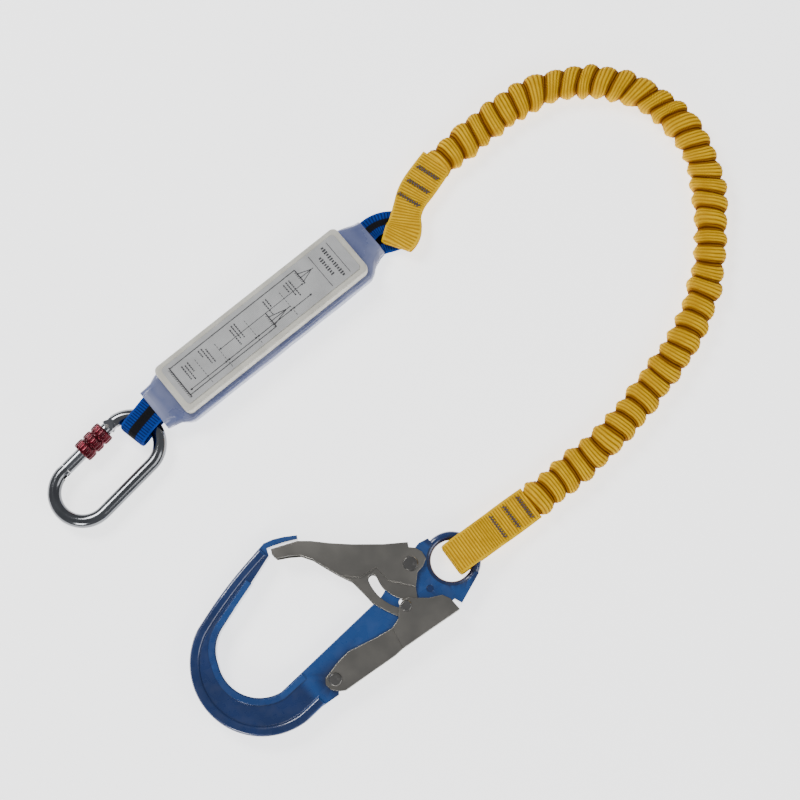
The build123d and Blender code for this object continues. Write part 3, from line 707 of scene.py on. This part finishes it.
def film_wrap(material):
    """Shrunk film sleeve: it necks in at both ends with soft folds that run into the mouths."""
    table = np.array(FILM_SECTIONS)
    stations = np.concatenate([
        np.arange(FILM_START, -FILM_NECK, 0.8),
        np.arange(-FILM_NECK, FILM_NECK, 4.0),
        np.arange(FILM_NECK, FILM_END, 0.8),
    ])
    rings, shares = [], []
    for ahead in stations:
        columns = [np.interp(ahead, table[:, 0], table[:, k]) for k in range(1, 6)]
        left, wide, low, high, corner = columns
        ring = round_box(FILM_AROUND, wide, high - low, corner)
        depth = np.clip((abs(ahead) - FILM_NECK) / 18, 0, 1)
        turn = np.arctan2(ring[:, 1], ring[:, 0])
        folds = np.sin(9 * turn + 0.06 * ahead) + 0.6 * np.sin(17 * turn + 1.3 + 0.11 * ahead)
        spots = [Vector((ahead * 0.05, math.cos(t) * 2, math.sin(t) * 2)) for t in turn]
        drift = np.array([noise.noise(spot) for spot in spots])
        pull = depth * (0.75 * folds + 1.6 * drift) + 0.35 * drift
        direction = ring / np.linalg.norm(ring, axis=1)[:, None]
        ring = ring + direction * pull[:, None]
        height = np.maximum(ring[:, 1] + (high + low) / 2, 0.05)
        places = zip(left + ring[:, 0], height)
        rings.append([tuple(level(PACK_CENTRE, PACK_ANGLE, ahead, x, z)) for x, z in places])
        # mask for the film's painted highlight: the fold crests at the necks
        shares.append(np.clip(depth * (0.5 + 0.5 * np.clip(folds, -1, 1)), 0, 1))
    shares = np.array(shares)
    piece = rings_to_mesh("film_wrap", np.array(rings), material, share=shares, capped=False)
    shell = piece.modifiers.new("wall", "SOLIDIFY")
    shell.thickness = 0.5 * MM
    shell.offset = -1
    return piece


PAD_AROUND = 160
PAD_UNEVEN = 0.18


def pad(material, name, ahead_half, left_half, low, high, corner, crown, pull):
    """A soft rounded slab: crowned on top, its sides pulled in between the corners."""
    layers = [
        # height share, size share, whether it lies on the top
        (0.0, 0.985, 0), (0.25, 1.0, 0), (0.7, 1.0, 0), (0.88, 0.992, 0),
        (0.96, 0.975, 0), (1.0, 0.94, 0), (1.0, 0.85, 1), (1.0, 0.65, 1),
        (1.0, 0.4, 1), (1.0, 0.15, 1), (1.0, 0.02, 1),
    ]
    rings = []
    for rise, scale, top in layers:
        inset = (1 - scale) * left_half
        wide, tall = 2 * (ahead_half - inset), 2 * (left_half - inset)
        ring = round_box(PAD_AROUND, wide, tall, max(0.4, min(corner, tall / 2 - 0.01)))
        made = []
        for x, y in ring:
            waist = pull * (1 - (abs(x) / ahead_half) ** 2) * (1 if abs(y) > tall / 2 - 1 else 0)
            y = y - math.copysign(waist, y) if not top else y
            lift = crown * (1 - scale) if top else 0
            wave = PAD_UNEVEN * noise.noise(Vector((x * 0.06, y * 0.08, rise)))
            height = low + (high - low) * rise + lift + wave
            made.append(tuple(level(PACK_CENTRE, PACK_ANGLE, x, y, height)))
        rings.append(made)
    return rings_to_mesh(name, np.array(rings), material)


CARD_Z = 29.9
INK_HIGH = 0.1


class Print:
    """Thin raised marks on the label, gathered into one mesh."""

    BOX_FACES = ((0, 2, 3, 1), (4, 5, 7, 6), (0, 1, 5, 4), (2, 6, 7, 3), (0, 4, 6, 2), (1, 3, 7, 5))

    def __init__(self):
        self.verts, self.faces = [], []

    def bar(self, x0, y0, x1, y1, wide):
        """A straight mark from one label point to another, in mm."""
        run = Vector((x1 - x0, y1 - y0))
        across = Vector((-run.y, run.x)).normalized() * wide / 2
        first = len(self.verts)
        for z in (CARD_Z, CARD_Z + INK_HIGH):
            for x, y in ((x0, y0), (x1, y1)):
                for way in (1, -1):
                    corner = x + way * across.x, y + way * across.y
                    self.verts.append(tuple(level(PACK_CENTRE, PACK_ANGLE, *corner, z)))
        for face in self.BOX_FACES:
            self.faces.append(tuple(first + k for k in face))

    def dashes(self, x0, y0, x1, y1, wide, dash, gap):
        """A broken line."""
        run = Vector((x1 - x0, y1 - y0))
        step = run.normalized()
        for k in range(int(run.length // (dash + gap))):
            a = k * (dash + gap)
            b = a + dash
            self.bar(x0 + step.x * a, y0 + step.y * a, x0 + step.x * b, y0 + step.y * b, wide)

    def arrow(self, x0, y0, x1, y1, wide, head=1.6):
        """A dimension line with a barb at each end."""
        self.bar(x0, y0, x1, y1, wide)
        step = Vector((x1 - x0, y1 - y0)).normalized()
        left = Vector((-step.y, step.x))
        for x, y, way in ((x0, y0, 1), (x1, y1, -1)):
            for turn in (1, -1):
                tip = step * way * head + left * turn * head * 0.4
                self.bar(x, y, x + tip.x, y + tip.y, wide)

    def piece(self, name, material):
        """The marks so far, as one object."""
        mesh = bpy.data.meshes.new(name)
        mesh.from_pydata(self.verts, [], self.faces)
        mesh.materials.append(material)
        made = bpy.data.objects.new(name, mesh)
        bpy.context.scene.collection.objects.link(made)
        return made


def label_marks(material):
    """A plain drop diagram: posts, ledges, spans and rows of dashes. It holds no lettering."""
    p = Print()
    # the header block: two rules with rows of short strokes between them
    for x in (79.0, 60.5):
        p.bar(x, -15.5, x, 15.5, 0.45)
    for x, start, count in ((73.5, 14.5, 13), (67.0, 9.0, 8)):
        for k in range(count):
            y = start - k * 2.3
            p.bar(x, y, x, y - 1.3, 3.2 if k % 3 else 2.2)
    # ledges with hatching, and the ground
    for x, y0, y1 in ((45, 0, 14), (5, -13, 1), (-82, -15, 15)):
        p.bar(x, y0, x, y1, 0.9)
        for k in range(int((y1 - y0) / 1.8)):
            p.bar(x, y0 + k * 1.8, x - 1.8, y0 + k * 1.8 + 1.2, 0.4)
    # standing posts and slanting stays
    lines = (
        (45, 6, 58, 6), (5, -7, 24, -7), (-82, -13, 5, -13), (-82, 14, 45, 14),
        (45, 2, 56, 6), (45, 10, 56, 6), (5, -11, 20, -7), (5, -3, 20, -7),
    )
    for line in lines:
        p.bar(*line, 0.55)
    # spans with barbs, and the broken levels between them
    for x0, x1, y in ((24, 44, -10), (-12, 24, -10), (-42, -12, -10), (-80, -42, -10), (-42, 44, 1)):
        p.arrow(x0 + 0.5, y, x1 - 0.5, y, 0.5)
    for x in (24, -12, -42, -62):
        p.dashes(x, -16, x, 11, 0.45, 1.6, 1.1)
    # rows of strokes where the notes stand
    notes = random.Random(3)
    for x in (36, 33.2, 30.4, 12, 9.2, -20, -22.8, -25.6, -50, -52.8, -55.6, -68, -70.8, -73.6):
        y = 11 - notes.uniform(0, 3)
        for _ in range(notes.randint(4, 8)):
            long = notes.uniform(0.8, 1.9)
            p.bar(x, y, x, y - long, 1.1)
            y -= long + 0.6
    return p.piece("label_marks", material)


# ---------------------------------------------------------------- bar tacks
TACK_LONG = 21.0
TACK_DEEP = 3.8
TACK_STEPS = 36
THREAD_RADIUS = 0.36


def bar_tacks(name, centres, angle, material):
    """Zigzag stitching across the webbing, on both faces. Centres: start, ahead, top, low."""
    data = bpy.data.curves.new(name, "CURVE")
    data.dimensions = "3D"
    data.bevel_depth = THREAD_RADIUS * MM
    data.bevel_resolution = 2
    uneven = random.Random(5)
    for start, ahead, top, low in centres:
        for height, bow in ((top, 0.5), (low, -0.5)):
            spline = data.splines.new("POLY")
            spline.points.add(TACK_STEPS)
            for k in range(TACK_STEPS + 1):
                left = TACK_LONG * (k / TACK_STEPS - 0.5)
                swing = TACK_DEEP / 2 * math.sin(math.pi / 2 * k) * uneven.uniform(0.85, 1.1)
                lift = bow * 0.35 * (1 + abs(math.cos(math.pi / 2 * k)))
                place = level(start, angle, ahead + swing, left, height + lift)
                spline.points[k].co = (*place, 1)
    data.materials.append(material)
    piece = bpy.data.objects.new(name, data)
    bpy.context.scene.collection.objects.link(piece)
    return piece


# ---------------------------------------------------------------- putting it together
add_camera()
# webbing colours: ridge colour, then the valley colour (painted shade, also the darker random tone),
# then the crease colour (painted shade)
yellow = webbing("yellow_webbing", (0.92, 0.56, 0.0), (0.52, 0.25, 0.0), (0.17, 0.05, 0.0))
leg, leg_path = elastic_leg(yellow)
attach(leg, "lanyard_leg")
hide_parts("elastic_webbing", "elastic_core")

add_world(WORLD_SHADE)
for light in LIGHTS:
    add_light(*light)

bpy.ops.mesh.primitive_plane_add(size=FLOOR_SIZE, location=(0, 0, 0))
floor = bpy.context.object
floor.name = "studio_floor"
floor.data.materials.append(floor_finish())

# blue webbing: the second and third colours are painted shade in valleys and creases
blue = webbing(
    "blue_webbing",
    (0.005, 0.050, 0.34), (0.001, 0.012, 0.10), (0.0005, 0.004, 0.03),
    stripe=(0.006, 0.006, 0.008),
)
red = anodised("red_anodised", (0.115, 0.001, 0.010))
# grey tear webbing: the second and third colours are painted shade in valleys and creases
grey = webbing("tear_webbing", (0.55, 0.53, 0.47), (0.42, 0.40, 0.36), (0.2, 0.19, 0.17))
thread = ink("tack_thread", (0.028, 0.030, 0.055))

# stitching: how far ahead each tack is, and the heights of the webbing's two faces
ABSORBER_TACKS = ((-1.0, 14.9, 7.0), (13.0, 13.9, 8.2), (27.0, 13.9, 8.2))
ABSORBER_TACK_START = (91.7, 199.5)
ABSORBER_TACK_ANGLE = 56
HOOK_TACKS = (46.0, 59.5, 72.5)

for piece, body, slot, node in (
    (eye_at_hook(yellow), "lanyard_leg", "yellow_webbing", "lanyard_eye_hook_end"),
    (eye_at_absorber(yellow), "lanyard_leg", "yellow_webbing", "lanyard_eye_absorber_end"),
    (loop_at_carabiner(blue), "absorber", "blue_webbing", "absorber_loop_carabiner_end"),
    (loop_at_lanyard(blue), "absorber", "blue_webbing", "absorber_loop_lanyard_end"),
    (screw_sleeve(red), "lock_sleeve", "red_anodised", "lock_sleeve"),
    (tear_webbing(grey), "absorber", "tear_webbing", "tear_webbing_core"),
    (film_wrap(film("shrink_film")), "absorber", "shrink_film", "shrink_film"),
    (
        bar_tacks(
            "bar_tack_stitches_absorber",
            [(ABSORBER_TACK_START, *tack) for tack in ABSORBER_TACKS],
            ABSORBER_TACK_ANGLE, thread,
        ),
        "lanyard_leg", "tack_thread", "bar_tacks_absorber_end",
    ),
    (
        bar_tacks(
            "bar_tack_stitches_hook",
            [(HOOK_STRAP_START, ahead, 13.9, 8.1) for ahead in HOOK_TACKS],
            HOOK_STRAP_ANGLE, thread,
        ),
        "lanyard_leg", "tack_thread", "bar_tacks_hook_end",
    ),
):
    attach(piece, body)
    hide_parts(node)

cream = cover("label_pad", (0.66, 0.64, 0.56), (0.52, 0.50, 0.43))
paper = cover("label_card", (0.46, 0.46, 0.455), (0.38, 0.38, 0.375), 1.6 * MM)
cushion = pad(cream, "label_cushion", 93, 23, 14.8, 28.6, 5.0, 0.5, 0.4)
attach(cushion, "absorber")
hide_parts("label_pad")
card = pad(paper, "label_sheet", 88, 18.2, 28.9, 29.6, 3.0, 0.35, 0.2)
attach(card, "absorber")
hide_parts("label_card")
marks = label_marks(ink("label_ink", (0.02, 0.02, 0.022)))
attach(marks, "absorber")

chrome = brushed("zinc_plate", (0.20, 0.205, 0.215), 0.15, (60, 60, 60), 0.3, 0.4 * MM)
stamped = brushed("stamped_steel", (0.19, 0.18, 0.162), 0.36, (60, 700, 300), 0.10, 1.2 * MM)
rivet = brushed("rivet_steel", (0.26, 0.25, 0.235), 0.26, (300, 300, 300))
wire = brushed("spring_wire", (0.30, 0.30, 0.31), 0.35, (200, 200, 200))
FINISHES = {
    "carabiner_body": chrome,
    "carabiner_gate": chrome,
    "gate_latch_pin": rivet,
    "gate_hinge_pin": rivet,
    "gate_plunger": rivet,
    "gate_spring": wire,
    # blue enamel: base colour, then the lighter blue painted on its edges as highlight
    "hook_body": enamel("blue_enamel", (0.001, 0.022, 0.115), (0.006, 0.07, 0.27)),
    "hook_gate": stamped,
    "lock_lever": stamped,
    "gate_rivet": rivet,
    "lever_guide_rivet": rivet,
    "lever_pivot_rivet": rivet,
    "hook_gate_spring": wire,
    "lever_spring": wire,
}
CRISP_ANGLE = math.radians(32)
for node, finish in FINISHES.items():
    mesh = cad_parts[node].data
    mesh.materials.clear()
    mesh.materials.append(finish)
    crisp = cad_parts[node].modifiers.new("crisp_edges", "EDGE_SPLIT")
    crisp.split_angle = CRISP_ANGLE
